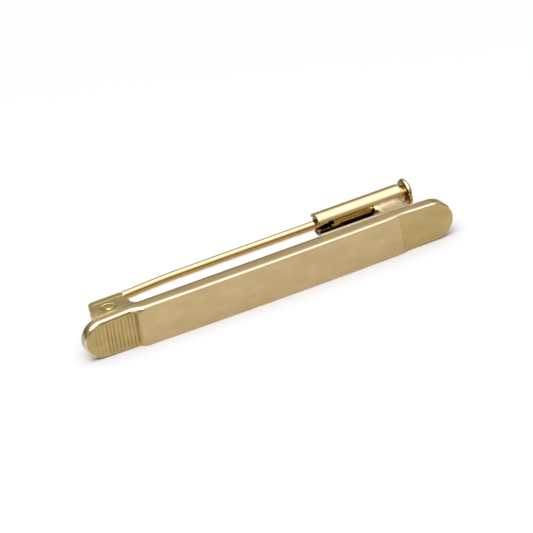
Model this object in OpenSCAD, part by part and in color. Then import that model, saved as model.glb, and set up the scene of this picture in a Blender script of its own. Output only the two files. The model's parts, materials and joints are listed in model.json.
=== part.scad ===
// Bar pin for a tie: a flat bar with reeded ends, a hinged pin stem behind it and a sliding tube catch.
// Millimetres. +X runs along the bar towards the catch, the front faces -Y, the back faces +Y and +Z is
// up as worn. The origin is the centre of the bar's flat lower edge.
// The modules below draw from the centre of the flat back face, and placed() moves them to the origin.

/* [Bar] */
// Length of the bar over its round ends
bar_length = 50; // [46:0.5:54]
// Height of the bar, top edge to bottom edge
bar_height = 5.2; // [5.1:0.1:5.8]
// Thickness at the middle of the plain panel
bar_thick = 2.1; // [2:0.05:2.3]
// How much thinner the plain panel is at its ends, from its slight crown
crown = 0.2; // [0.1:0.02:0.24]
// Thickness of the reeded pad at the hinge end
pad_thick = 1.3; // [1.2:0.05:1.65]
// Thickness of the reeded pad at the catch end
catch_pad_thick = 1.6; // [1.3:0.05:1.65]
// Length of each end pad
pad_length = 7.4; // [6.5:0.1:8]
// Angle at which each edge of a pad tapers towards its round end
pad_taper = 2.2; // [1:0.1:2.4]
// Width of the polished bevel round the front
bevel = 0.18; // [0.1:0.02:0.24]
// Number of cross grooves on each pad
groove_count = 8; // [3:1:9]
// Depth of a cross groove
groove_depth = 0.07; // [0.03:0.01:0.1]

/* [Hinge] */
// Distance of the rivet from the end of the bar
rivet_inset = 4.8; // [4.6:0.1:5.2]
// Distance of the rivet from the back of the bar
rivet_out = 1.4; // [1.37:0.01:1.45]
// Radius of the rivet's shank
rivet_r = 0.38; // [0.32:0.02:0.4]
// Thickness of each ear of the bracket
ear_thick = 0.36; // [0.3:0.02:0.4]
// How far the ears stand out from the back of the bar
ear_reach = 3.05; // [3:0.05:3.15]
// Thickness of the pin's flat tongue
tongue_thick = 0.34; // [0.28:0.02:0.4]

/* [Pin] */
// Diameter of the pin's wire
wire_d = 1.2; // [1:0.05:1.3]
// Distance of the straight wire's axis from the back of the bar
wire_out = 4.24; // [4.2:0.02:4.4]
// Length of the tapered point
point_length = 2.85; // [2.6:0.05:3]

/* [Catch] */
// Length of the fixed tube
tube_length = 11.4; // [11.2:0.1:12]
// Outside diameter of the fixed tube
tube_d = 2.9; // [2.8:0.05:3]
// Wall of the fixed tube
tube_wall = 0.3; // [0.26:0.02:0.34]
// Width of the tube's window on the side of the bar
window_width = 1.4; // [1.2:0.05:1.6]
// Length of the tube's window
window_length = 7.5; // [6:0.1:8]
// Width of the tube's entry slot on the outer side
entry_width = 1.4; // [1.35:0.05:1.5]
// Length of the entry slot
entry_length = 4.2; // [3.6:0.1:5]
// Diameter of the knob
knob_d = 3.66; // [3.3:0.02:3.8]
// Gap between the end of the tube and the knob
knob_gap = 0.6; // [0.4:0.1:0.9]

/* [Hidden] */

gold = [0.83, 0.69, 0.45];
bright_gold = [0.93, 0.79, 0.52];
fine = 96;
cut = 0.5;
play = 0.03;
hair = 0.01;

// Bar
top_z = bar_height / 2;
end_x = bar_length / 2;
pad_end_r = (top_z * cos(pad_taper) - pad_length * sin(pad_taper)) / (1 - sin(pad_taper));
round_x = end_x - pad_end_r;
round_start_x = round_x + pad_end_r * sin(pad_taper);
panel_x = end_x - pad_length;
ramp = 0.4;
crown_r = (panel_x * panel_x + crown * crown) / (2 * crown);
crown_angle = asin(panel_x / crown_r);
crown_flats = 3;
groove_margin = 2.4;
groove_pitch = (pad_length - groove_margin) / groove_count;
groove_half_width = 1.3 * groove_depth;

// Hinge, from the top edge of the bar down
rivet_x = -end_x + rivet_inset;
ear_top_z = top_z - 0.05;
ear_low_z = ear_top_z - ear_thick;
tongue_z = ear_low_z - play - tongue_thick / 2;
lower_top_z = tongue_z - tongue_thick / 2 - play;
lower_low_z = lower_top_z - ear_thick;
web_thick = 0.38;
web_inset = 0.4;
ear_right_x = rivet_x + 2.7;
ear_left_x = rivet_x - 2.3;
ear_foot_x = rivet_x - 2.9;
ear_corner_r = 1.1;
ear_fillet_r = 0.9;
head_r = 0.68;
head_rise = 0.08;
recess_r = 0.95;
recess_depth = 0.1;
tail_r = 0.62;
tail_thick = 0.15;
rivet_bevel = 0.12;
tongue_eye_r = 0.98;
tongue_left_x = rivet_x - 1.7;
tongue_far_y = 4.65;
tongue_corner_r = 1;
tongue_step = 0.2;
blade_end_x = rivet_x + 4.7;
blade_width = 0.6;

// Pin
wire_r = wire_d / 2;
wire_z = tongue_z;
wire_gap = 0.15;
wire_start_x = ear_right_x + wire_gap;
bend_x = -11;
bend_angle = 5.2;
tip_r = 0.12;

// Catch
mouth_x = 9.35;
tube_r = tube_d / 2;
bore_r = tube_r - tube_wall;
tube_end_x = mouth_x + tube_length;
lip_r = bore_r - 0.11;
lip_length = 0.5;
window_tilt = 7;
collar_x = mouth_x + 0.1;
collar_r = bore_r - 0.04;
collar_length = 2.63;
sleeve_r = lip_r - 0.04;
sleeve_bore_r = 0.7;
slit_width = 0.9;
slit_length = 1.9;
point_x = mouth_x - 0.25;
knob_x = tube_end_x + knob_gap;
knob_rim_r = 0.34;
knob_dome = 0.22;
knob_dome_step = 0.36;
knob_dome_r = knob_d / 2 - knob_dome_step;
spigot_length = 2.4;
post_x = mouth_x + window_length - 0.1;
post_length = 3.5;
post_ledge_y = 1.9;
post_web_y = 1.6;
post_depth = 1;
post_foot_depth = 1.3;

// Moves its children from the centre of the bar's back face to the origin
module placed() {
    translate([0, bar_thick / 2, top_z]) children();
}

// A cylinder that runs from x = 0 along +X
module rod_x(r, length, r_end = -1) {
    rotate([0, 90, 0]) cylinder(h = length, r1 = r, r2 = r_end < 0 ? r : r_end, $fn = fine);
}

// Moves its children to the axis that the pin, tube and sleeve share
module on_catch_axis(x) {
    translate([x, wire_out, wire_z]) children();
}

// A long slab behind a pad's front, with a bevelled upper edge that slopes down towards the end
module pad_slab(thick) {
    depth = 2 * bar_height;
    translate([panel_x, 0, top_z]) rotate([0, pad_taper, 0]) translate([-pad_length, 0, 0])
        rotate([90, 0, 90]) linear_extrude(3 * pad_length)
            polygon([[0, -depth], [0, 0], [bevel - thick, 0], [-thick, -bevel], [-thick, -depth]]);
}

// One end of the bar, as a bevelled pad that is flat in front and tapers to a round end
module pad(thick) {
    rotate([90, 0, 0]) translate([round_x, 0, 0]) {
        cylinder(h = thick - bevel, r = pad_end_r, $fn = fine);
        translate([0, 0, thick - bevel])
            cylinder(h = bevel, r1 = pad_end_r, r2 = pad_end_r - bevel, $fn = fine);
    }
    intersection() {
        pad_slab(thick);
        mirror([0, 0, 1]) pad_slab(thick);
        translate([panel_x, -thick - cut, -bar_height])
            cube([round_start_x - panel_x, thick + cut, 2 * bar_height]);
    }
}

// The sloping step from the plain panel down to the pad
module ramp(thick) {
    edge_thick = bar_thick - crown;
    translate([0, 0, -top_z + bevel]) linear_extrude(bar_height - 2 * bevel)
        polygon([[panel_x, 0], [panel_x, -edge_thick], [panel_x + ramp, -thick],
                 [panel_x + ramp, 0]]);
}

// A long bevelled bar whose flat front touches the crown's curve at one angle
module crown_facet(angle) {
    face = top_z - bevel;
    translate([0, crown_r - bar_thick, 0]) rotate([0, 0, angle])
        translate([-bar_length, -crown_r, 0]) rotate([90, 0, 90]) linear_extrude(2 * bar_length)
            polygon([[bar_length, -top_z], [bar_length, top_z], [bevel, top_z], [0, face],
                     [0, -face], [bevel, -top_z]]);
}

// The plain panel, with a front crowned in shallow flats and a flat back
module panel() {
    intersection() {
        intersection_for(i = [-crown_flats : crown_flats])
            crown_facet(i * crown_angle / crown_flats);
        translate([-panel_x, -bar_thick - cut, -bar_height])
            cube([2 * panel_x, bar_thick + cut, 2 * bar_height]);
    }
}

// V-shaped cross grooves cut in one pad
module grooves(thick) {
    for (i = [1 : groove_count])
        translate([panel_x + ramp + i * groove_pitch, -thick, -bar_height])
            linear_extrude(2 * bar_height)
                polygon([[-groove_half_width, -hair], [0, groove_depth], [groove_half_width, -hair]]);
}

// Thickness of the pad at the catch end (side 0) or the hinge end (side 1)
function end_thick(side) = side == 0 ? catch_pad_thick : pad_thick;

module bar() {
    placed() color(gold) difference() {
        union() {
            panel();
            for (side = [0, 1]) mirror([side, 0, 0]) {
                pad(end_thick(side));
                ramp(end_thick(side));
            }
        }
        for (side = [0, 1]) mirror([side, 0, 0]) grooves(end_thick(side));
    }
}

// Plan of one bracket ear: it spreads at its foot and has one round outer corner
module ear_plan() {
    difference() {
        union() {
            polygon([[ear_foot_x, 0], [ear_left_x, ear_reach - ear_corner_r],
                     [ear_left_x + ear_corner_r, ear_reach - ear_corner_r],
                     [ear_left_x + ear_corner_r, ear_reach], [ear_right_x, ear_reach],
                     [ear_right_x, ear_fillet_r], [ear_right_x + ear_fillet_r, 0]]);
            translate([ear_left_x + ear_corner_r, ear_reach - ear_corner_r])
                circle(r = ear_corner_r, $fn = fine);
            translate([ear_right_x - hair, 0]) square([ear_fillet_r + hair, ear_fillet_r]);
        }
        translate([ear_right_x + ear_fillet_r, ear_fillet_r]) circle(r = ear_fillet_r, $fn = fine);
        translate([ear_right_x + ear_fillet_r, hair]) square([cut, ear_fillet_r]);
    }
}

module ear(low_z) {
    translate([0, 0, low_z]) linear_extrude(ear_thick) ear_plan();
}

module hinge_bracket() {
    placed() color(gold) difference() {
        union() {
            ear(ear_low_z);
            ear(lower_low_z);
            translate([ear_foot_x + web_inset, 0, lower_low_z])
                cube([ear_right_x - ear_foot_x - web_inset, web_thick, ear_top_z - lower_low_z]);
        }
        translate([rivet_x, rivet_out, lower_low_z - cut])
            cylinder(h = bar_height, r = rivet_r + hair, $fn = fine);
        translate([rivet_x, rivet_out, ear_top_z - recess_depth])
            cylinder(h = recess_depth + cut, r = recess_r, $fn = fine);
    }
}

module hinge_rivet() {
    head_z = ear_top_z - recess_depth;
    placed() color(bright_gold) translate([rivet_x, rivet_out, 0]) {
        translate([0, 0, lower_low_z - tail_thick])
            cylinder(h = tail_thick, r1 = tail_r - rivet_bevel, r2 = tail_r, $fn = fine);
        translate([0, 0, lower_low_z]) cylinder(h = head_z - lower_low_z, r = rivet_r, $fn = fine);
        translate([0, 0, head_z]) cylinder(h = recess_depth, r = head_r, $fn = fine);
        translate([0, 0, ear_top_z])
            cylinder(h = head_rise, r1 = head_r, r2 = head_r - rivet_bevel, $fn = fine);
    }
}

// A flat eye round the rivet, widened to an outer edge along the wire, with a blade into the wire
module pin_tongue() {
    corner_x = tongue_left_x + tongue_corner_r;
    corner_y = tongue_far_y - tongue_corner_r;
    blade_y = wire_root_y(wire_start_x) - blade_width / 2;
    placed() color(gold) translate([0, 0, tongue_z - tongue_thick / 2]) difference() {
        union() {
            translate([rivet_x, rivet_out, 0]) cylinder(h = tongue_thick, r = tongue_eye_r, $fn = fine);
            linear_extrude(tongue_thick)
                polygon([[rivet_x - tongue_eye_r, rivet_out], [tongue_left_x, ear_reach],
                         [tongue_left_x, corner_y], [corner_x, corner_y], [corner_x, tongue_far_y],
                         [wire_start_x, tongue_far_y], [wire_start_x, ear_reach + tongue_step],
                         [rivet_x + tongue_eye_r, rivet_out]]);
            translate([corner_x, corner_y, 0]) cylinder(h = tongue_thick, r = tongue_corner_r, $fn = fine);
            translate([wire_start_x - hair, blade_y, 0])
                cube([blade_end_x - wire_start_x, blade_width, tongue_thick]);
        }
        translate([rivet_x, rivet_out, -cut])
            cylinder(h = tongue_thick + 2 * cut, r = rivet_r + play + hair, $fn = fine);
    }
}

// Distance from the bar of the wire's axis on its slanting root
function wire_root_y(x) = wire_out - (bend_x - x) * tan(bend_angle);

// A straight length of wire from the bend along +X, cut off on the bend's mitre plane
module mitred_wire(length, mitre) {
    difference() {
        translate([-wire_d, 0, 0]) rod_x(wire_r, length + wire_d);
        rotate([0, 0, mitre]) translate([-2 * wire_d, -wire_d, -wire_d]) cube(2 * wire_d);
    }
}

// The slanting root, a slight bend and the straight run with its tapered point
module wire_body() {
    on_catch_axis(bend_x) {
        mitred_wire(point_x - bend_x, bend_angle / 2);
        rotate([0, 0, 180 + bend_angle])
            mitred_wire((bend_x - wire_start_x) / cos(bend_angle), -bend_angle / 2);
    }
    on_catch_axis(point_x) rod_x(wire_r, point_length, tip_r);
}

module pin_wire() {
    slot_y = wire_root_y(wire_start_x) - blade_width / 2;
    placed() color(bright_gold) difference() {
        wire_body();
        translate([wire_start_x - cut, slot_y, wire_z - tongue_thick / 2])
            cube([blade_end_x - wire_start_x + cut - hair, blade_width, tongue_thick]);
    }
}

// The post's side view, from the back of the bar to the near side of the tube
module post_profile() {
    near_y = wire_out - tube_r;
    ledge_z = top_z - 2 * hair;
    polygon([[0, ledge_z], [post_ledge_y, ledge_z], [near_y + cut / 10, wire_z],
             [near_y + cut, wire_z - post_depth], [post_web_y, wire_z - post_depth],
             [0, wire_z - post_foot_depth]]);
}

module catch_post() {
    placed() color(gold) difference() {
        translate([post_x, 0, 0]) rotate([90, 0, 90]) linear_extrude(post_length) post_profile();
        on_catch_axis(post_x - cut) rod_x(tube_r, post_length + 2 * cut);
    }
}

// A slot that runs in from the mouth on one side of the tube only, with a round end
module side_slot(width, length, turn) {
    on_catch_axis(mouth_x) rotate([turn, 0, 0]) {
        translate([-cut, -2 * tube_r, -width / 2])
            cube([length - width / 2 + cut, 2 * tube_r, width]);
        translate([length - width / 2, 0, 0]) rotate([90, 0, 0])
            cylinder(h = 2 * tube_r, r = width / 2, $fn = fine);
    }
}

module catch_tube() {
    placed() color(bright_gold) difference() {
        on_catch_axis(mouth_x) rod_x(tube_r, tube_length);
        on_catch_axis(mouth_x - cut) rod_x(bore_r, tube_length + cut - lip_length);
        on_catch_axis(mouth_x) rod_x(lip_r, tube_length + cut);
        side_slot(window_width, window_length, window_tilt);
        side_slot(entry_width, entry_length, 180);
    }
}

// A plain tube with a wider collar that closes the entry slot from inside and has one slit by the bar
module slide_sleeve() {
    placed() color(gold) difference() {
        union() {
            on_catch_axis(collar_x) rod_x(collar_r, collar_length);
            on_catch_axis(collar_x) rod_x(sleeve_r, knob_x - collar_x);
        }
        on_catch_axis(collar_x - cut) rod_x(sleeve_bore_r, knob_x - collar_x + 2 * cut);
        on_catch_axis(collar_x - cut) translate([0, -2 * tube_r, -slit_width / 2])
            cube([slit_length + cut, 2 * tube_r, slit_width]);
    }
}

// A round disc with a rolled rim and a shallow dome outside, and a spigot that fills the sleeve's end
module slide_knob() {
    rim = knob_d / 2 - knob_rim_r;
    face = 2 * knob_rim_r;
    dome_r = (knob_dome_r * knob_dome_r + knob_dome * knob_dome) / (2 * knob_dome);
    dome_angle = asin(knob_dome_r / dome_r);
    spigot_r = sleeve_bore_r - hair;
    placed() color(bright_gold) on_catch_axis(knob_x) rotate([0, 90, 0]) rotate_extrude($fn = fine)
        polygon(concat(
            [[0, -spigot_length], [spigot_r, -spigot_length], [spigot_r, 0]],
            [for (a = [-90 : 20 : 90]) [rim + knob_rim_r * cos(a), knob_rim_r + knob_rim_r * sin(a)]],
            [for (i = [0 : 5]) let (a = dome_angle * (1 - i / 6))
                [dome_r * sin(a), face + knob_dome - dome_r * (1 - cos(a))]],
            [[0, face + knob_dome]]));
}

bar();
hinge_bracket();
hinge_rivet();
pin_tongue();
pin_wire();
catch_post();
catch_tube();
slide_sleeve();
slide_knob();
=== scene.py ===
import json
import math
from contextlib import contextmanager

import bmesh
import bpy
from mathutils import Matrix, Vector


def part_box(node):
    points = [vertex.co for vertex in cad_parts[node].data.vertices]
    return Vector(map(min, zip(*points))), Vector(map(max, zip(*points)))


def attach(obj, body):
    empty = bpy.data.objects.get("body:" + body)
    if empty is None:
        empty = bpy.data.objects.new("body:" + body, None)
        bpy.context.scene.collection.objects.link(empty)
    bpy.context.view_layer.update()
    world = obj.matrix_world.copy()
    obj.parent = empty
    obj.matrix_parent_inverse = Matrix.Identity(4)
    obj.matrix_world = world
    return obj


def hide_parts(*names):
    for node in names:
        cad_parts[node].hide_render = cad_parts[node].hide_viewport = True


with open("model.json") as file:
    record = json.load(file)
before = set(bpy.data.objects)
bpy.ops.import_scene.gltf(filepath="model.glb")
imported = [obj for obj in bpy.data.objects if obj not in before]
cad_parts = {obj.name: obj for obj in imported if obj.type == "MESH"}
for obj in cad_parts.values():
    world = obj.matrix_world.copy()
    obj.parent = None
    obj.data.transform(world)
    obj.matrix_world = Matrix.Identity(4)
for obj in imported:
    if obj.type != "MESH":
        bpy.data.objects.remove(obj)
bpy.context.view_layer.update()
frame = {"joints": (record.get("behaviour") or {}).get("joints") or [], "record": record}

# The pieces are worked out in millimetres, and finish_piece turns them into metres by this scale
MM = 0.001


def box_mm(node):
    low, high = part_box(node)
    return low / MM, high / MM


def mount_mm(name):
    found = next(m for m in frame["record"]["mounts"] if m["name"] == name)
    return Vector(found["pos_m"]) / MM


def joint_mm(name):
    found = next(j for j in frame["joints"] if j["name"] == name)
    return Vector(found["pos_m"]) / MM


# Places taken from the frame
BAR_LOW, BAR_HIGH = box_mm("bar")
BACK_Y = BAR_HIGH.y
MID_Z = (BAR_LOW.z + BAR_HIGH.z) / 2
HALF = (BAR_HIGH.z - BAR_LOW.z) / 2
END_X = BAR_HIGH.x
ROUND_X = END_X - HALF
THICK = BAR_HIGH.y - BAR_LOW.y
RIVET = joint_mm("pin_swing")
WIRE_Y = mount_mm("pin_stem").y
TUBE_LOW, TUBE_HIGH = box_mm("catch_tube")
AXIS_Y = (TUBE_LOW.y + TUBE_HIGH.y) / 2
AXIS_Z = (TUBE_LOW.z + TUBE_HIGH.z) / 2
SLEEVE_LOW, SLEEVE_HIGH = box_mm("slide_sleeve")
KNOB_LOW, KNOB_HIGH = box_mm("slide_knob")
BRACKET_LOW, BRACKET_HIGH = box_mm("hinge_bracket")
RIVET_LOW, RIVET_HIGH = box_mm("hinge_rivet")
TONGUE_LOW, TONGUE_HIGH = box_mm("pin_tongue")
WIRE_LOW, WIRE_HIGH = box_mm("pin_wire")
POST_LOW, POST_HIGH = box_mm("catch_post")


# ---------------------------------------------------------------- camera, floor and light

VIEW_TURN = math.radians(21.8)
VIEW_DROP = math.radians(26.6)
VIEW_ROLL = math.radians(-9.6)
VIEW_DISTANCE = 1500
VIEW_WIDTH = 64.67
AIM_UP = 1.13
AIM_RIGHT = 0.15

# The floor, the lamp and the camera's clipping are in metres
VIEW_NEAR = 0.05
VIEW_FAR = 20
FLOOR_REACH = 3
PAPER_COLOUR = (0.90, 0.93, 0.98)
LAMP_PLACE = (-0.2, -0.3, 0.65)
LAMP_SIZE = 0.5
LAMP_POWER = 2.35

# Colours of the sky, from 0 at the horizon and below it to 1 straight up
SKY_STOPS = (
    (0.0, (0.20, 0.14, 0.055)),
    (0.20, (0.18, 0.13, 0.05)),
    (0.33, (0.24, 0.18, 0.09)),
    (0.43, (0.40, 0.325, 0.205)),
    (0.66, (0.46, 0.39, 0.28)),
    (0.84, (1.34, 1.33, 1.38)),
    (1.0, (1.45, 1.46, 1.53)),
)


def make_camera():
    look = Vector((math.sin(VIEW_TURN) * math.cos(VIEW_DROP),
                   math.cos(VIEW_TURN) * math.cos(VIEW_DROP),
                   -math.sin(VIEW_DROP)))
    level = Vector((math.cos(VIEW_TURN), -math.sin(VIEW_TURN), 0))
    upright = level.cross(look)
    right = level * math.cos(VIEW_ROLL) + upright * math.sin(VIEW_ROLL)
    up = upright * math.cos(VIEW_ROLL) - level * math.sin(VIEW_ROLL)
    aim = Vector((0, BACK_Y, MID_Z)) + up * AIM_UP + right * AIM_RIGHT
    place = (aim - look * VIEW_DISTANCE) * MM
    data = bpy.data.cameras.new("camera")
    data.lens = data.sensor_width * VIEW_DISTANCE / VIEW_WIDTH
    data.clip_start = VIEW_NEAR
    data.clip_end = VIEW_FAR
    camera = bpy.data.objects.new("camera", data)
    camera.matrix_world = Matrix((
        (right.x, up.x, -look.x, place.x),
        (right.y, up.y, -look.y, place.y),
        (right.z, up.z, -look.z, place.z),
        (0, 0, 0, 1)))
    bpy.context.scene.collection.objects.link(camera)
    bpy.context.scene.camera = camera


def make_floor():
    corners = ((-1, -1), (1, -1), (1, 1), (-1, 1))
    mesh = bpy.data.meshes.new("floor")
    mesh.from_pydata([(x * FLOOR_REACH, y * FLOOR_REACH, 0) for x, y in corners], [], [(0, 1, 2, 3)])
    floor = bpy.data.objects.new("floor", mesh)
    bpy.context.scene.collection.objects.link(floor)
    paper = bpy.data.materials.new("white_paper")
    paper.use_nodes = True
    shader = paper.node_tree.nodes["Principled BSDF"]
    shader.inputs["Base Color"].default_value = (*PAPER_COLOUR, 1)
    shader.inputs["Roughness"].default_value = 0.9
    shader.inputs["Specular IOR Level"].default_value = 0.1
    mesh.materials.append(paper)


def make_light():
    """A bright sky over a dim horizon, and one soft lamp above and in front"""
    world = bpy.data.worlds.new("studio")
    bpy.context.scene.world = world
    world.use_nodes = True
    nodes, links = world.node_tree.nodes, world.node_tree.links
    place = nodes.new("ShaderNodeTexCoord")
    split = nodes.new("ShaderNodeSeparateXYZ")
    ramp = nodes.new("ShaderNodeValToRGB")
    links.new(place.outputs["Generated"], split.inputs[0])
    links.new(split.outputs["Z"], ramp.inputs[0])
    links.new(ramp.outputs["Color"], nodes["Background"].inputs["Color"])
    stops = ramp.color_ramp.elements
    while len(stops) < len(SKY_STOPS):
        stops.new(0.5)
    for stop, (height, level) in zip(stops, SKY_STOPS):
        stop.position = height
        stop.color = (*level, 1)
    lamp = bpy.data.lights.new("softbox", "AREA")
    lamp.shape = "DISK"
    lamp.size = LAMP_SIZE
    lamp.energy = LAMP_POWER
    softbox = bpy.data.objects.new("softbox", lamp)
    softbox.location = LAMP_PLACE
    softbox.rotation_euler = (-softbox.location).to_track_quat("-Z", "Y").to_euler()
    bpy.context.scene.collection.objects.link(softbox)


# ---------------------------------------------------------------- materials

# How much of the grain shows in the colour, and the noise levels of the darkest and lightest colour
GRAIN_SHARE = 0.35
DARK_AT = 0.42
LIGHT_AT = 0.92
# The noise lies mostly between these
NOISE_LOW = 0.3
NOISE_HIGH = 0.7
# Millimetres
GRAIN_HEIGHT = 0.02
PIT_HEIGHT = 0.03
SHADE_MARGIN = 0.3


def node(tree, kind, **values):
    """A new node with its inputs set, where from_min is the input From Min"""
    made = tree.nodes.new(kind)
    for name, value in values.items():
        made.inputs[name.replace("_", " ").title()].default_value = value
    return made


def noise_on(tree, place, stretch, scale, detail):
    """Noise over the object's own millimetres, stretched along the axes"""
    mapping = tree.nodes.new("ShaderNodeMapping")
    mapping.inputs["Scale"].default_value = [s / MM for s in stretch]
    tree.links.new(place.outputs["Object"], mapping.inputs["Vector"])
    noise = node(tree, "ShaderNodeTexNoise", scale=scale, detail=detail)
    tree.links.new(mapping.outputs["Vector"], noise.inputs["Vector"])
    return noise


def mixed_colour(tree, drift, fine, light, dark):
    """A ramp from dark to light along the slow drift and a share of the fine grain"""
    both = tree.nodes.new("ShaderNodeMath")
    both.operation = "MULTIPLY_ADD"
    both.inputs[1].default_value = GRAIN_SHARE
    tree.links.new(fine.outputs["Fac"], both.inputs[0])
    tree.links.new(drift.outputs["Fac"], both.inputs[2])
    ramp = tree.nodes.new("ShaderNodeValToRGB")
    for stop, position, colour in zip(ramp.color_ramp.elements, (DARK_AT, LIGHT_AT), (dark, light)):
        stop.position = position
        stop.color = (*colour, 1)
    tree.links.new(both.outputs[0], ramp.inputs[0])
    return ramp.outputs["Color"]


def painted_shade_at_ends(tree, place, colour, painted_end_shade):
    """The colour with painted shade round the bar's ends, where it falls to the given share of itself"""
    split = tree.nodes.new("ShaderNodeSeparateXYZ")
    tree.links.new(place.outputs["Object"], split.inputs[0])
    far = tree.nodes.new("ShaderNodeMath")
    far.operation = "ABSOLUTE"
    tree.links.new(split.outputs["X"], far.inputs[0])
    fade = node(tree, "ShaderNodeMapRange", from_min=ROUND_X * MM, from_max=(END_X - SHADE_MARGIN) * MM,
                to_min=1.0, to_max=painted_end_shade)
    tree.links.new(far.outputs[0], fade.inputs["Value"])
    end_shaded = tree.nodes.new("ShaderNodeVectorMath")
    end_shaded.operation = "SCALE"
    tree.links.new(colour, end_shaded.inputs[0])
    tree.links.new(fade.outputs["Result"], end_shaded.inputs["Scale"])
    return end_shaded.outputs[0]


def bumped(tree, noise, strength, distance, under=None):
    """A bump over a noise, its distance in millimetres, on top of the bump under it"""
    bump = node(tree, "ShaderNodeBump", strength=strength, distance=distance * MM)
    tree.links.new(noise.outputs["Fac"], bump.inputs["Height"])
    if under is not None:
        tree.links.new(under.outputs["Normal"], bump.inputs["Normal"])
    return bump


def metal(name, light, dark, rough, rough_spread=0.06, *, grain, grain_scale, grain_bump, pits=0.0,
          painted_end_shade=1.0):
    """Gold with slow colour drift, grain that varies colour, gloss and height, and fine pits; a share below
    1 paints shade round the bar's ends
    """
    made = bpy.data.materials.new(name)
    made.use_nodes = True
    tree = made.node_tree
    shader = tree.nodes["Principled BSDF"]
    shader.inputs["Metallic"].default_value = 1
    place = tree.nodes.new("ShaderNodeTexCoord")
    drift = noise_on(tree, place, stretch=(0.25, 0.6, 0.6), scale=1.3, detail=3)
    fine = noise_on(tree, place, stretch=grain, scale=grain_scale, detail=4)

    colour = mixed_colour(tree, drift, fine, light, dark)
    if painted_end_shade < 1:
        colour = painted_shade_at_ends(tree, place, colour, painted_end_shade)
    tree.links.new(colour, shader.inputs["Base Color"])

    gloss = node(tree, "ShaderNodeMapRange", from_min=NOISE_LOW, from_max=NOISE_HIGH,
                 to_min=rough - rough_spread, to_max=rough + rough_spread)
    tree.links.new(fine.outputs["Fac"], gloss.inputs["Value"])
    tree.links.new(gloss.outputs["Result"], shader.inputs["Roughness"])

    bump = bumped(tree, fine, grain_bump, GRAIN_HEIGHT)
    if pits:
        pit_noise = noise_on(tree, place, stretch=(1, 1, 1), scale=9, detail=2)
        bump = bumped(tree, pit_noise, pits, PIT_HEIGHT, bump)
    tree.links.new(bump.outputs["Normal"], shader.inputs["Normal"])
    return made


PANEL = metal("panel_satin", (0.59, 0.445, 0.232), (0.49, 0.367, 0.182), 0.36,
              grain=(0.4, 1, 1), grain_scale=5, grain_bump=0.2)
PAD = metal("pad_satin", (0.515, 0.387, 0.170), (0.42, 0.313, 0.127), 0.34,
            grain=(1, 1, 0.08), grain_scale=4.5, grain_bump=0.35)
# Painted shade in the grooves: a darker gold on the faces of the cut grooves
GROOVE_PAINTED_SHADE = metal("groove_painted_shade", (0.36, 0.26, 0.085), (0.27, 0.19, 0.055), 0.34,
               grain=(2, 1, 0.1), grain_scale=8, grain_bump=0.35)
# The side band gets painted shade round the bar's ends
SIDE = metal("side_satin", (0.92, 0.79, 0.53), (0.80, 0.68, 0.45), 0.32,
             grain=(0.1, 2, 1.5), grain_scale=12, grain_bump=0.2, painted_end_shade=0.55)
BACK = metal("back_satin", (0.66, 0.49, 0.27), (0.55, 0.40, 0.21), 0.26,
             grain=(0.1, 1.5, 1.5), grain_scale=10, grain_bump=0.2, pits=0.05)
RIM = metal("rim_polish", (0.95, 0.82, 0.61), (0.87, 0.74, 0.53), 0.12, 0.04,
            grain=(0.1, 2, 2), grain_scale=8, grain_bump=0.04)
BRACKET = metal("bracket_satin", (0.82, 0.71, 0.41), (0.64, 0.55, 0.28), 0.30,
                grain=(0.6, 1, 1), grain_scale=5, grain_bump=0.08, pits=0.04)
POLISH = metal("polish", (0.95, 0.79, 0.50), (0.88, 0.71, 0.42), 0.09, 0.03,
               grain=(0.15, 2, 2), grain_scale=6, grain_bump=0.02)
TUBE_POLISH = metal("tube_polish", (0.94, 0.79, 0.51), (0.86, 0.71, 0.43), 0.13, 0.05,
                    grain=(0.15, 2, 2), grain_scale=6, grain_bump=0.05)
# Painted shade: a near-black gold for hollows and inner faces, where shade and dark reflections fall
PAINTED_INSIDE_SHADE = metal("tube_inside_painted_shade", (0.20, 0.12, 0.035), (0.09, 0.05, 0.014), 0.22, 0.06,
               grain=(0.15, 2, 2), grain_scale=6, grain_bump=0.08)
SLEEVE = metal("sleeve_drawn", (0.80, 0.64, 0.25), (0.60, 0.46, 0.15), 0.16, 0.05,
               grain=(0.1, 2, 2), grain_scale=8, grain_bump=0.06)
SOLDER = metal("solder_frost", (0.99, 0.92, 0.76), (0.88, 0.77, 0.55), 0.34, 0.12,
               grain=(1, 1, 1), grain_scale=3, grain_bump=1.0, pits=1.0)


# ---------------------------------------------------------------- mesh tools

# In millimetres: points closer than WELD are one, and edges shorter than SLIVER are left by a cut
WELD = 1e-5
SLIVER = 5e-4


@contextmanager
def editing(mesh):
    """The mesh as a bmesh, which is written back when the block ends"""
    work = bmesh.new()
    work.from_mesh(mesh)
    yield work
    work.to_mesh(mesh)
    work.free()


def new_piece(name, verts, faces, materials, face_materials=None):
    """A mesh object from millimetre points, still in millimetres"""
    mesh = bpy.data.meshes.new(name)
    mesh.from_pydata([tuple(v) for v in verts], [], faces)
    for m in materials:
        mesh.materials.append(m)
    if face_materials:
        mesh.polygons.foreach_set("material_index", face_materials)
    piece = bpy.data.objects.new(name, mesh)
    bpy.context.scene.collection.objects.link(piece)
    with editing(mesh) as work:
        bmesh.ops.remove_doubles(work, verts=work.verts, dist=WELD)
        bmesh.ops.recalc_face_normals(work, faces=work.faces)
    return piece


def bake(piece):
    """Turns the piece's modifiers into its mesh"""
    graph = bpy.context.evaluated_depsgraph_get()
    mesh = bpy.data.meshes.new_from_object(piece.evaluated_get(graph), depsgraph=graph)
    piece.modifiers.clear()
    piece.data = mesh


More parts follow.
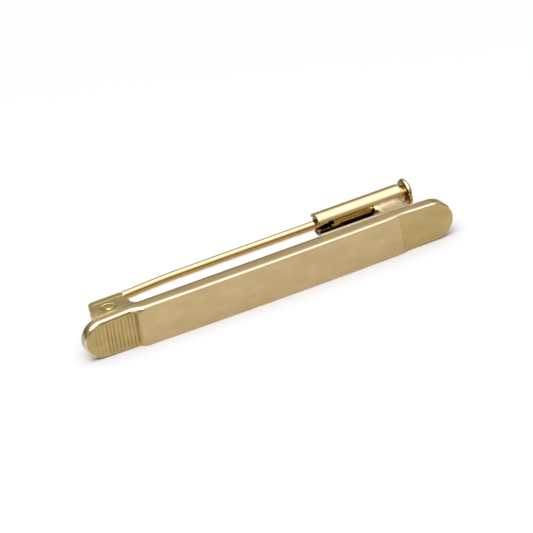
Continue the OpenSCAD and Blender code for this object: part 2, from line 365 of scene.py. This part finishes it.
def combine(piece, other, operation):
    """Adds the other solid to the piece or cuts it away, and removes it"""
    step = piece.modifiers.new(operation.lower(), "BOOLEAN")
    step.operation = operation
    step.solver = "EXACT"
    step.object = other
    bake(piece)
    bpy.data.objects.remove(other)


def round_edges(piece, width, segments, angle):
    """Rounds every edge where the faces turn by more than the angle in degrees"""
    step = piece.modifiers.new("round", "BEVEL")
    step.width = width
    step.segments = segments
    step.limit_method = "ANGLE"
    step.angle_limit = math.radians(angle)
    step.use_clamp_overlap = True
    bake(piece)


def weight_normals(piece):
    step = piece.modifiers.new("weighted", "WEIGHTED_NORMAL")
    step.keep_sharp = True


def finish_piece(piece, body, replaced, sharp=60):
    """Smooth shading, metres, and its place in the frame"""
    mesh = piece.data
    with editing(mesh) as work:
        bmesh.ops.dissolve_degenerate(work, edges=work.edges, dist=SLIVER)
        bmesh.ops.remove_doubles(work, verts=work.verts, dist=SLIVER)
    mesh.transform(Matrix.Scale(MM, 4))
    mesh.shade_smooth()
    mesh.set_sharp_from_angle(angle=math.radians(sharp))
    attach(piece, body)
    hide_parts(replaced)


def turned(profile, point, segments):
    """Points and faces of (place, radius) pairs turned about an axis; a zero radius closes it

    point(place, radius, angle) gives the position of each point
    """
    verts, faces, rings = [], [], []
    for place, radius in profile:
        count = segments if radius > 0 else 1
        rings.append(range(len(verts), len(verts) + count))
        verts += [point(place, radius, 2 * math.pi * i / segments) for i in range(count)]
    for a, b in zip(rings, rings[1:]):
        for i in range(segments):
            j = (i + 1) % segments
            if len(a) == 1:
                faces.append((a[0], b[j], b[i]))
            elif len(b) == 1:
                faces.append((a[i], a[j], b[0]))
            else:
                faces.append((a[i], a[j], b[j], b[i]))
    return verts, faces


def turned_on_catch(profile, segments=96):
    """(x, radius) pairs turned about the catch's axis"""
    def point(x, radius, angle):
        return x, AXIS_Y - radius * math.cos(angle), AXIS_Z + radius * math.sin(angle)
    return turned(profile, point, segments)


def turned_upright(x, y, profile, segments=64):
    """(radius, height) pairs turned about a vertical axis"""
    def point(height, radius, angle):
        return x + radius * math.cos(angle), y + radius * math.sin(angle), height
    return turned([(height, radius) for radius, height in profile], point, segments)


def ring_faces(count, steps):
    """Faces that close a solid of steps + 1 rings with count points in each: two ends and the sides"""
    faces = [tuple(range(count - 1, -1, -1)), tuple(range(steps * count, (steps + 1) * count))]
    for i in range(steps):
        for k in range(count):
            a, b = i * count + k, i * count + (k + 1) % count
            faces.append((a, b, b + count, a + count))
    return faces


def arc(centre_x, centre_y, radius, start, end, steps):
    """Points of an arc in a profile, angles in degrees"""
    return [(centre_x + radius * math.cos(math.radians(start + (end - start) * i / steps)),
             centre_y + radius * math.sin(math.radians(start + (end - start) * i / steps)))
            for i in range(steps + 1)]


def along(start, end, steps, radius):
    """Evenly spaced profile points on a plain cylinder"""
    return [(start + (end - start) * i / steps, radius) for i in range(steps + 1)]


def plate(name, outline, low, high, material):
    """An outline in X and Y as a flat solid from low to high"""
    verts = [(x, y, z) for z in (low, high) for x, y in outline]
    return new_piece(name, verts, ring_faces(len(outline), 1), [material])


def ramp_up(value, start, end):
    """0 before start, 1 after end and smooth between"""
    t = min(1, max(0, (value - start) / (end - start)))
    return t * t * (3 - 2 * t)


def wobble(x, seed):
    """A smooth repeatable wave from -1 to 1"""
    return (math.sin(x * 1.7 + seed * 2.1) + math.sin(x * 0.73 + seed * 5.3)
            + math.sin(x * 3.1 + seed * 1.3)) / 3


# ---------------------------------------------------------------- the bar

PAD_LENGTH = 7.4
PANEL_X = END_X - PAD_LENGTH
CROWN = 0.2
PAD_THICK = 1.3
CATCH_PAD_THICK = 1.6
PAD_TAPER = math.tan(math.radians(2.2))
RAMP = 0.4
PAD_START = PANEL_X + RAMP / 2
# Where the step to each pad starts and ends, past the panel's end
HINGE_STEP = (-0.2, RAMP + 0.2)
CATCH_STEP = (-0.5, 1.3)

RIM_WIDE = 0.27
RIM_NARROW = 0.22
RIM_LOW = 0.07
# The polished edge widens between these heights, as shares of the half height
RIM_FADE = (0.1, 0.8)
# How much further the step to the pad spreads on the polished edge
RIM_SOFTEN = 0.45
# The rounded edge, as shares of its width: distance in from the outline and depth behind the face
RIM_SHAPE = ((0, 1), (0.03, 0.91), (0.12, 0.79), (0.79, 0.12), (0.91, 0.03), (1, 0))
BORDER_DEPTH = 0.06
# The border line deepens between these places past the panel's hinge end, and between these heights
BORDER_RISE = (-1.6, 0.5)
BORDER_FADE = (0.0, 0.6)
# The border line inside the edge: distance past the edge and share of its depth
BORDER_SHAPE = ((0.03, 0.6), (0.06, 1), (0.10, 0.45), (0.13, 0))
BAND = 0.62
INNER = HALF - BAND
BACK_ROUND = 0.05
# Stations down the edge's flat side, as shares of the way to the back
SIDE_SHARES = (0.35, 0.7, 1)

GROOVES = 12
GROOVE_PITCH = 0.5
GROOVE_SHIFT = 0.07
GROOVE_HALF = 0.10
GROOVE_HALF_SPREAD = 0.02
GROOVE_DEPTH = 0.07
GROOVE_DEPTH_SPREAD = 0.025
GROOVE_SHARPNESS = 1.3
# Faces of grooves deeper than this, in millimetres, get the painted groove shade
GROOVE_SHADE = 0.03
CATCH_STRENGTH = 0.3
# One wider groove by the panel on the hinge pad
WIDE_GROOVE_PLACE = 0.45
WIDE_GROOVE_HALF = 0.16
WIDE_GROOVE_DEPTH = 0.08

ROUND_STEP = 2
FINE_STEP = 0.05
PANEL_STEPS = 36
ACROSS = 14


def thickness(x, soften=0):
    """Thickness of the bar at a place along it, without its grooves; the step is softer by the catch"""
    far = abs(x)
    crowned = THICK - CROWN * (min(far, PANEL_X) / PANEL_X) ** 2
    start, end = CATCH_STEP if x > 0 else HINGE_STEP
    pad = CATCH_PAD_THICK if x > 0 else PAD_THICK
    return crowned + (pad - crowned) * ramp_up(far, PANEL_X + start - soften, PANEL_X + end + soften)


def taper(x):
    """How much the pads narrow towards their round ends"""
    return 1 - PAD_TAPER * max(0, min(abs(x), ROUND_X) - PANEL_X) / HALF


def cross_groove(x, z):
    """Depth of the hand-cut cross grooves on the pads, stronger on the hinge end"""
    far = abs(x)
    if far < PAD_START:
        return 0
    seed = 1 if x > 0 else 2
    depth = 0
    for i in range(GROOVES):
        centre = PANEL_X + RAMP + i * GROOVE_PITCH + GROOVE_SHIFT * wobble(i * 2.3, seed)
        half = GROOVE_HALF + GROOVE_HALF_SPREAD * wobble(i * 3.7, seed + 3)
        deep = GROOVE_DEPTH + GROOVE_DEPTH_SPREAD * wobble(i * 1.9 + z * 0.4, seed + 7)
        near = max(0, 1 - abs(far - centre) / half)
        depth = max(depth, deep * near ** GROOVE_SHARPNESS)
    if x > 0:
        return CATCH_STRENGTH * depth
    near = max(0, 1 - abs(far - PANEL_X - WIDE_GROOVE_PLACE) / WIDE_GROOVE_HALF)
    return max(depth, WIDE_GROOVE_DEPTH * near)


def rim_width(x, z):
    """The polished edge is wider at the hinge end and nearly sharp along the bottom"""
    top = RIM_NARROW + (RIM_WIDE - RIM_NARROW) * ramp_up(-x, -END_X, END_X)
    return RIM_LOW + (top - RIM_LOW) * ramp_up(z / HALF, *RIM_FADE)


def rim_profile(x, z):
    """(distance in from the outline, depth behind the face) over the rounded edge and its border line"""
    width = rim_width(x, z)
    rise = ramp_up(-x - PANEL_X, *BORDER_RISE)
    border = BORDER_DEPTH * rise * ramp_up(z / HALF, *BORDER_FADE)
    points = [(width * inset, width * depth) for inset, depth in RIM_SHAPE]
    return points + [(width + past, border * share) for past, share in BORDER_SHAPE]


def bar_stations():
    """Places along the bar: close together on the pads and evenly round the ends"""
    xs = [ROUND_X + INNER * math.cos(math.radians(a)) for a in range(0, 90, ROUND_STEP)]
    fine = int((ROUND_X - PANEL_X) / FINE_STEP)
    xs += [PANEL_X + (ROUND_X - PANEL_X) * (fine - i) / fine for i in range(fine + 1)]
    half = xs + [PANEL_X * (PANEL_STEPS - i) / PANEL_STEPS for i in range(1, PANEL_STEPS)]
    return [-x for x in half] + [0.0] + half[::-1]


def inner_half(x):
    """Half the height inside the rim band"""
    over = max(0, abs(x) - ROUND_X)
    return math.sqrt(max(0, INNER * INNER - over * over))


def rim_point(x, up, inset):
    """The point that lies inset from the outline, out from the inner outline's station at x"""
    over = max(0, abs(x) - ROUND_X)
    if over == 0:
        return x, up * (HALF - inset)
    grow = (HALF - inset) / INNER
    return math.copysign(ROUND_X + over * grow, x), up * inner_half(x) * grow


def face_y(x, z, depth):
    """Y at a depth behind the front face, with its grooves"""
    return BACK_Y - thickness(x) + depth + cross_groove(x, z)


def rim_y(x, z, up, depth):
    """The lower edge takes the grooves; the polished upper one has none and a longer, softer step"""
    if up > 0:
        return BACK_Y - thickness(x, RIM_SOFTEN) + depth
    return face_y(x, z, depth)


def make_bar():
    verts, faces, kinds = [], [], []
    xs = bar_stations()
    panel, pad, side, back, rim, painted_groove = range(6)

    def add(x, y, z):
        verts.append((x, y, MID_Z + z * taper(x)))
        return len(verts) - 1

    # The front and back faces inside the rim band
    for front in (True, False):
        columns = []
        for x in xs:
            heights = [inner_half(x) * (2 * k / ACROSS - 1) for k in range(ACROSS + 1)]
            columns.append([add(x, face_y(x, z, 0) if front else BACK_Y, z) for z in heights])
        for x, a, b in zip(xs, columns, columns[1:]):
            kind = (pad if abs(x) > PAD_START else panel) if front else back
            for k in range(ACROSS):
                faces.append((a[k], a[k + 1], b[k + 1], b[k]))
                middle_x, middle_z = (sum(verts[i][axis] for i in faces[-1]) / 4 for axis in (0, 2))
                # Faces down in a groove get painted shade
                cut = kind == pad and cross_groove(middle_x, middle_z - MID_Z) > GROOVE_SHADE
                kinds.append(painted_groove if cut else kind)

    # The rim band, the edge and the outer part of the back, ring by ring
    loop = [(x, 1) for x in xs] + [(x, -1) for x in xs[::-1]]
    rings = []
    for x, up in loop:
        inner_x, inner_z = rim_point(x, up, BAND)
        ring = [add(inner_x, face_y(inner_x, inner_z, 0), inner_z)]
        for inset, depth in reversed(rim_profile(x, inner_z)):
            px, pz = rim_point(x, up, inset)
            ring.append(add(px, rim_y(px, pz, up, depth), pz))
        px, pz = rim_point(x, up, 0)
        front_y = rim_y(px, pz, up, rim_width(x, inner_z))
        for share in SIDE_SHARES:
            ring.append(add(px, front_y + (BACK_Y - BACK_ROUND - front_y) * share, pz))
        for inset, depth in ((BACK_ROUND * 0.3, BACK_ROUND * 0.3), (BACK_ROUND, 0), (BAND, 0)):
            px, pz = rim_point(x, up, inset)
            ring.append(add(px, BACK_Y - depth, pz))
        rings.append(ring)
    border_end = len(BORDER_SHAPE) + 1
    rim_end = border_end + len(RIM_SHAPE) - 1
    side_end = rim_end + len(SIDE_SHARES) + 1
    for (x, _), a, b in zip(loop, rings, rings[1:] + rings[:1]):
        for k in range(len(a) - 1):
            if k < border_end:
                kind = pad if abs(x) > PAD_START else panel
            elif k < rim_end:
                kind = rim
            else:
                kind = side if k < side_end else back
            faces.append((a[k], b[k], b[k + 1], a[k + 1]))
            kinds.append(kind)
    piece = new_piece("bar_plate", verts, faces, [PANEL, PAD, SIDE, BACK, RIM, GROOVE_PAINTED_SHADE], kinds)
    with editing(piece.data) as work:
        bmesh.ops.dissolve_degenerate(work, edges=work.edges, dist=WELD)
        bmesh.ops.recalc_face_normals(work, faces=work.faces)
    finish_piece(piece, "bar_frame", "bar")


# ---------------------------------------------------------------- the hinge

EAR_THICK = 0.36
EAR_FILLET = 0.9
EAR_RIGHT = BRACKET_HIGH.x - EAR_FILLET
EAR_LEFT = RIVET.x - 2.3
EAR_FOOT = BRACKET_LOW.x
EAR_FAR = BRACKET_HIGH.y
EAR_CORNER = 1.1
EAR_ROUND = 0.075
FOOT_Y = BACK_Y - 0.02
WEB_LEFT = EAR_FOOT + 0.4
WEB_FAR = BACK_Y + 0.38
BEAD_RADIUS = 0.075
BEAD_DROP = 0.035
BEAD_START = EAR_FAR - 0.6

DISH_X = RIVET.x - 0.1
DISH_Y = RIVET.y - 0.04
DISH_RADIUS = 0.98
DISH_DEPTH = 0.11
DISH_STEPS = (0.3, 0.6, 0.75, 0.85, 0.92, 0.97)

SHANK_RADIUS = 0.385
SHANK_HOLE = 0.39
TAIL_RADIUS = 0.62
TAIL_HEIGHT = 0.15
HEAD_RADIUS = 0.68
HEAD_ROUND = 0.06
HEAD_STEPS = (0.8, 0.55, 0.25)

HEEL_HOLE = 0.42
HEEL_EYE = 0.98
HEEL_CORNER = 1.0
HEEL_ROUND = 0.06
BLADE_HALF = 0.3


def ear_outline():
    """Plan of one ear, from its foot on the bar round its outer corner to its fillet"""
    corner = arc(EAR_LEFT + EAR_CORNER, EAR_FAR - EAR_CORNER, EAR_CORNER, 180, 90, 16)
    fillet = arc(EAR_RIGHT + EAR_FILLET, BACK_Y + EAR_FILLET, EAR_FILLET, 180, 268, 16)
    outline = [(EAR_FOOT, FOOT_Y)] + corner + [(EAR_RIGHT, EAR_FAR)] + fillet
    return outline + [(EAR_RIGHT + EAR_FILLET, FOOT_Y)]


def bead(path, z, radius, segments=12):
    """A round bead along a level path, set just inside it"""
    verts = []
    for i, (x, y) in enumerate(path):
        before, after = path[max(0, i - 1)], path[min(len(path) - 1, i + 1)]
        run = Vector((after[0] - before[0], after[1] - before[1], 0)).normalized()
        across = Vector((-run.y, run.x, 0))
        for k in range(segments):
            turn = 2 * math.pi * k / segments
            offset = across * (radius * math.cos(turn) - radius)
            verts.append((x + offset.x, y + offset.y, z + radius * math.sin(turn)))
    return verts, ring_faces(segments, len(path) - 1)


def drill(piece, radius):
    """Cuts a round hole on the rivet's axis, right through the piece"""
    low, high = RIVET_LOW.z - 1, RIVET_HIGH.z + 1
    profile = [(0, low), (radius, low), (radius, high), (0, high)]
    hole = new_piece("hole", *turned_upright(RIVET.x, RIVET.y, profile), [BRACKET])
    combine(piece, hole, "DIFFERENCE")


def make_bracket():
    low, top = BRACKET_LOW.z, BRACKET_HIGH.z
    outline = ear_outline()[::-1]
    piece = plate("hinge_ears", outline, top - EAR_THICK, top, BRACKET)
    lower_ear = plate("lower_ear", outline, low, low + EAR_THICK, BRACKET)
    web_outline = [(WEB_LEFT, FOOT_Y), (EAR_RIGHT, FOOT_Y), (EAR_RIGHT, WEB_FAR), (WEB_LEFT, WEB_FAR)]
    web = plate("web", web_outline, low + EAR_THICK / 2, top - EAR_THICK / 2, BRACKET)
    combine(piece, lower_ear, "UNION")
    combine(piece, web, "UNION")
    drill(piece, SHANK_HOLE)
    dish = [(0, top - DISH_DEPTH)]
    dish += [(DISH_RADIUS * s, top - DISH_DEPTH * (1 - s ** 5)) for s in DISH_STEPS]
    dish += [(DISH_RADIUS * 1.02, top + 0.02), (DISH_RADIUS * 1.02, top + 0.5), (0, top + 0.5)]
    bowl = new_piece("bowl", *turned_upright(DISH_X, DISH_Y, dish), [BRACKET])
    combine(piece, bowl, "DIFFERENCE")
    round_edges(piece, EAR_ROUND, 3, 35)
    lip_path = [(x, y) for x, y in ear_outline() if y > BEAD_START and x < EAR_RIGHT + 0.01]
    lip = new_piece("lip", *bead(lip_path, top - BEAD_DROP, BEAD_RADIUS), [RIM])
    combine(piece, lip, "UNION")
    weight_normals(piece)
    finish_piece(piece, "bar_frame", "hinge_bracket")


def make_rivet():
    """A headed rivet: a spread tail below, the shank, and a nearly flat head in the upper ear's dish"""
    low, top = RIVET_LOW.z, RIVET_HIGH.z
    floor = BRACKET_HIGH.z - DISH_DEPTH
    profile = [(0, low), (0.46, low), (0.55, low + 0.03), (0.6, low + 0.08)]
    profile += [(TAIL_RADIUS, low + TAIL_HEIGHT), (SHANK_RADIUS, low + TAIL_HEIGHT)]
    profile += [(SHANK_RADIUS, floor - 0.02), (HEAD_RADIUS - 0.04, floor), (HEAD_RADIUS, floor + 0.04)]
    profile += arc(HEAD_RADIUS - HEAD_ROUND, top - HEAD_ROUND - 0.01, HEAD_ROUND, 0, 75, 3)
    profile += [(HEAD_RADIUS * s, top - 0.012 * (1 - (1 - s) ** 2) - 0.004 * s) for s in HEAD_STEPS]
    profile.append((0, top))
    piece = new_piece("rivet", *turned_upright(RIVET.x, RIVET.y, profile), [BRACKET])
    finish_piece(piece, "bar_frame", "hinge_rivet", sharp=50)


def make_tongue():
    """The pin's flat heel: an eye round the rivet, a rounded corner and a blade let into the wire"""
    left, right = TONGUE_LOW.x, TONGUE_HIGH.x
    far = TONGUE_HIGH.y
    start = WIRE_LOW.x
    blade_low = wire_centre_y(start) - BLADE_HALF
    blade_high = wire_centre_y(start) + BLADE_HALF
    outline = arc(RIVET.x, RIVET.y, HEEL_EYE, 180, 360, 24)
    outline += [(start, EAR_FAR + 0.2), (start, blade_low), (right, blade_low), (right, blade_high)]
    outline.append((start, far))
    outline += arc(left + HEEL_CORNER, far - HEEL_CORNER, HEEL_CORNER, 90, 180, 16)
    outline.append((left, EAR_FAR))
    piece = plate("pin_heel", outline, TONGUE_LOW.z, TONGUE_HIGH.z, BRACKET)
    drill(piece, HEEL_HOLE)
    round_edges(piece, HEEL_ROUND, 3, 35)
    weight_normals(piece)
    finish_piece(piece, "pin", "pin_tongue")


# ---------------------------------------------------------------- the pin

BEND_X = -11.0
BEND_SLOPE = math.tan(math.radians(5.2))
BEND_REACH = 2.0
WIRE_RADIUS = 0.6
POINT_LENGTH = 2.85
TIP_RADIUS = 0.12
TIP_ROUND = 0.11
ROOT_EDGE = 0.08


def eased(distance):
    """0 before the bend, the distance past it after, and an arc between"""
    if distance <= -BEND_REACH:
        return 0
    if distance >= BEND_REACH:
        return distance
    return (distance + BEND_REACH) ** 2 / (4 * BEND_REACH)


def wire_centre_y(x):
    """Y of the wire's axis: a slanting root that eases into the straight run"""
    return WIRE_Y - BEND_SLOPE * eased(BEND_X - x)


def make_wire():
    segments = 48
    start, tip = WIRE_LOW.x, WIRE_HIGH.x
    taper_start = tip - POINT_LENGTH
    stations = [(start, WIRE_RADIUS - ROOT_EDGE), (start + 0.3 * ROOT_EDGE, WIRE_RADIUS - 0.3 * ROOT_EDGE),
                (start + ROOT_EDGE, WIRE_RADIUS)]
    stations += along(start, taper_start, 70, WIRE_RADIUS)[1:]
    for s in [i / 14 for i in range(1, 15)]:
        drop = (WIRE_RADIUS - TIP_RADIUS) * (0.25 * s + 0.75 * s * s)
        stations.append((taper_start + POINT_LENGTH * s * 0.96, WIRE_RADIUS - drop))
    stations += [(tip - TIP_ROUND * (1 - math.sin(math.radians(a))), TIP_RADIUS * math.cos(math.radians(a)))
                 for a in (20, 45, 70)]

    def point(x, radius, angle):
        return x, wire_centre_y(x) - radius * math.cos(angle), AXIS_Z + radius * math.sin(angle)

    verts, faces = turned(stations + [(tip, 0)], point, segments)
    faces.append(tuple(range(segments))[::-1])
    piece = new_piece("pin_stem", verts, faces, [POLISH])
    finish_piece(piece, "pin", "pin_wire")


# ---------------------------------------------------------------- the catch

TUBE_RADIUS = (TUBE_HIGH.z - TUBE_LOW.z) / 2
TUBE_WALL = 0.3
LIP_RADIUS = TUBE_RADIUS - TUBE_WALL - 0.11
LIP_LENGTH = 0.5
TUBE_ROUND = 0.05
COLLAR_RADIUS = TUBE_RADIUS - TUBE_WALL - 0.04
COLLAR_LENGTH = 2.63
SLEEVE_RADIUS = LIP_RADIUS - 0.04
SLEEVE_BORE = 0.7
SLEEVE_ROUND = 0.06
# Each slot's half width, length from the mouth, and angle
WINDOW = (0.7, 7.5, -7)
ENTRY = (0.7, 4.2, 180)
SLIT = (0.45, 1.9, 0)
# A slot's cutter starts this far before the mouth and runs between these distances from the axis
SLOT_LEAD = 0.5
SLOT_REACH = (0.15, 2.4)

# How deep the mouth's face with painted shade is, and how far the painted shade reaches into the tube
MOUTH_DEPTH = 0.04
PAINTED_SHADE_LENGTH = 9
# The solder starts past the window and covers a sector of the tube's side, with a ragged upper edge
SOLDER_START = WINDOW[1] - 0.1
SOLDER_LOW = -60
SOLDER_HIGH = 24
SOLDER_RAGGED = 6

KNOB_RADIUS = (KNOB_HIGH.z - KNOB_LOW.z) / 2
KNOB_ROLL = 0.34
KNOB_RING = 0.14
SPIGOT_RADIUS = SLEEVE_BORE - 0.01
DOME_STEPS = (0.9, 0.75, 0.6, 0.45, 0.3, 0.15)

POST_STEPS = 14
# The post's ends slump by this much over this share of its length
POST_SLUMP = 0.2
SLUMP_SHARE = 1 / 8
POST_RIPPLE = 0.03


def slot_cutter(start, half, length, angle):
    """A round-ended bar that cuts a slot from the mouth; an angle of 0 faces the bar and 90 faces up"""
    centre = start + length - half
    outline = [(start - SLOT_LEAD, -half), (centre, -half)]
    outline += arc(centre, 0, half, -90, 90, 24)[1:]
    outline.append((start - SLOT_LEAD, half))
    turn = math.radians(angle)
    verts = []
    for depth in SLOT_REACH:
        for x, chord in outline:
            verts.append((x, AXIS_Y - depth * math.cos(turn) - chord * math.sin(turn),
                          AXIS_Z + depth * math.sin(turn) - chord * math.cos(turn)))
    return new_piece("cutter", verts, ring_faces(len(outline), 1), [TUBE_POLISH])


def finish_tube_faces(piece, mouth):
    """Painted shade on the bore, slot walls and mouth, and solder flowed onto the side that faces the bar
    """
    polished, inside, solder = range(3)
    piece.data.materials.append(PAINTED_INSIDE_SHADE)
    piece.data.materials.append(SOLDER)
    for face in piece.data.polygons:
        past = face.center.x - mouth
        away = Vector((0, face.center.y - AXIS_Y, face.center.z - AXIS_Z))
        outward = face.normal.dot(away.normalized()) if away.length > 0.01 else 0
        angle = math.degrees(math.atan2(away.z, -away.y))
        solder_edge = SOLDER_HIGH + SOLDER_RAGGED * wobble(face.center.x, 5)
        cut = outward < 0.25 and away.length < TUBE_RADIUS - 0.02
        # The mouth's face, and the bore and slot walls near it, get painted shade
        if past < MOUTH_DEPTH or cut and past < PAINTED_SHADE_LENGTH:
            face.material_index = inside
        elif past > SOLDER_START and outward > 0.9 and SOLDER_LOW < angle < solder_edge:
            face.material_index = solder
        else:
            face.material_index = polished


def make_tube():
    start, end = TUBE_LOW.x, TUBE_HIGH.x
    inner = TUBE_RADIUS - TUBE_WALL
    soft = TUBE_ROUND
    profile = [(start, inner + soft), (start, TUBE_RADIUS - soft)]
    profile += arc(start + soft, TUBE_RADIUS - soft, soft, 180, 90, 4)[1:]
    profile += along(start + soft, end - soft, 40, TUBE_RADIUS)[1:]
    profile += arc(end - soft, TUBE_RADIUS - soft, soft, 90, 0, 4)[1:]
    profile += [(end, LIP_RADIUS + soft), (end - soft, LIP_RADIUS), (end - LIP_LENGTH, LIP_RADIUS)]
    profile += along(end - LIP_LENGTH, start + soft, 40, inner)
    profile.append((start, inner + soft))
    piece = new_piece("catch_barrel", *turned_on_catch(profile, 128), [TUBE_POLISH])
    for slot in (WINDOW, ENTRY):
        combine(piece, slot_cutter(start, *slot), "DIFFERENCE")
    round_edges(piece, 0.05, 3, 40)
    finish_tube_faces(piece, start)
    weight_normals(piece)
    finish_piece(piece, "bar_frame", "catch_tube")


def make_sleeve():
    start, end = SLEEVE_LOW.x, SLEEVE_HIGH.x
    soft = SLEEVE_ROUND
    shoulder = start + COLLAR_LENGTH
    profile = [(start, SLEEVE_BORE + soft), (start, COLLAR_RADIUS - soft)]
    profile += arc(start + soft, COLLAR_RADIUS - soft, soft, 180, 90, 4)[1:]
    profile += along(start + soft, shoulder - soft, 8, COLLAR_RADIUS)[1:]
    profile += arc(shoulder - soft, COLLAR_RADIUS - soft, soft, 90, 0, 4)[1:]
    profile += along(shoulder, end, 30, SLEEVE_RADIUS)
    profile += along(end, start + soft, 30, SLEEVE_BORE)
    profile.append((start, SLEEVE_BORE + soft))
    piece = new_piece("sleeve", *turned_on_catch(profile), [SLEEVE])
    combine(piece, slot_cutter(start, *SLIT), "DIFFERENCE")
    round_edges(piece, 0.03, 2, 40)
    # Painted shade on the sleeve's end at the mouth and inside its bore
    piece.data.materials.append(PAINTED_INSIDE_SHADE)
    for face in piece.data.polygons:
        radius = math.hypot(face.center.y - AXIS_Y, face.center.z - AXIS_Z)
        if face.center.x < start + 0.05 or radius < SLEEVE_BORE + 0.08:
            face.material_index = 1
    weight_normals(piece)
    finish_piece(piece, "slide", "slide_sleeve")


def make_knob():
    """A disc with a rolled rim, a sunk ring and a shallow dome on its outer side"""
    start, end = KNOB_LOW.x, KNOB_HIGH.x
    face = SLEEVE_HIGH.x
    rim = KNOB_RADIUS - KNOB_ROLL
    crest = face + 2 * KNOB_ROLL
    dome = rim - KNOB_RING
    dome_foot = crest - 0.06
    profile = [(start, 0), (start, SPIGOT_RADIUS - 0.04), (start + 0.04, SPIGOT_RADIUS)]
    profile += along(start + 0.04, face, 6, SPIGOT_RADIUS)[1:]
    profile += [(face, SPIGOT_RADIUS + 0.1), (face + 0.02, rim - 0.12)]
    profile += arc(face + KNOB_ROLL, rim, KNOB_ROLL, 188, 0, 24)[1:]
    profile += [(crest - 0.01, rim - 0.06), (dome_foot, dome)]
    profile += [(dome_foot + (end - dome_foot) * (1 - s * s), dome * s) for s in DOME_STEPS]
    profile.append((end, 0))
    piece = new_piece("knob", *turned_on_catch(profile, 128), [POLISH, PAINTED_INSIDE_SHADE])
    # Its inner side is painted dark: painted shade and the dark reflection of the tube's end
    for side in piece.data.polygons:
        if side.normal.x < -0.7:
            side.material_index = 1
    finish_piece(piece, "slide", "slide_knob")


def make_post():
    """The frosted lump of solder that joins the tube to the bar's back edge"""
    low_x, high_x = POST_LOW.x, POST_HIGH.x
    top = POST_HIGH.z
    near_y = AXIS_Y - TUBE_RADIUS
    # Its section, from the bar out over the top and back underneath
    profile = [(BACK_Y - 0.01, top), (BACK_Y + 0.9, top - 0.01), (BACK_Y + 1.9, top - 0.03),
               (near_y + 0.06, AXIS_Z + 0.05), (near_y + 0.5, AXIS_Z - 0.98), (BACK_Y + 1.6, AXIS_Z - 0.99),
               (BACK_Y + 0.8, AXIS_Z - 1.12), (BACK_Y - 0.01, POST_LOW.z + 0.01)]
    count = len(profile)
    verts = []
    for i in range(POST_STEPS + 1):
        x = low_x + (high_x - low_x) * i / POST_STEPS
        edge = min(i, POST_STEPS - i) / POST_STEPS
        slump = POST_SLUMP * max(0, 1 - edge / SLUMP_SHARE)
        for k, (y, z) in enumerate(profile):
            ripple = POST_RIPPLE * wobble(x * 2.2 + k * 1.9, 3)
            inward = 1 if z > AXIS_Z - 0.5 else -1
            lift = 0 if k in (0, count - 1) else (slump + max(0, ripple)) * inward
            verts.append((x, y, z - lift))
    piece = new_piece("solder_post", verts, ring_faces(count, POST_STEPS), [SOLDER])
    seat = TUBE_RADIUS - 0.01
    barrel = [(low_x - 1, 0), (low_x - 1, seat), (high_x + 1, seat), (high_x + 1, 0)]
    cutter = new_piece("cutter", *turned_on_catch(barrel, 128), [SOLDER])
    combine(piece, cutter, "DIFFERENCE")
    round_edges(piece, 0.06, 3, 40)
    weight_normals(piece)
    finish_piece(piece, "bar_frame", "catch_post")


make_camera()
make_floor()
make_light()
make_bar()
make_bracket()
make_rivet()
make_wire()
make_tongue()
make_tube()
make_sleeve()
make_knob()
make_post()
bpy.context.scene.view_settings.view_transform = "Standard"
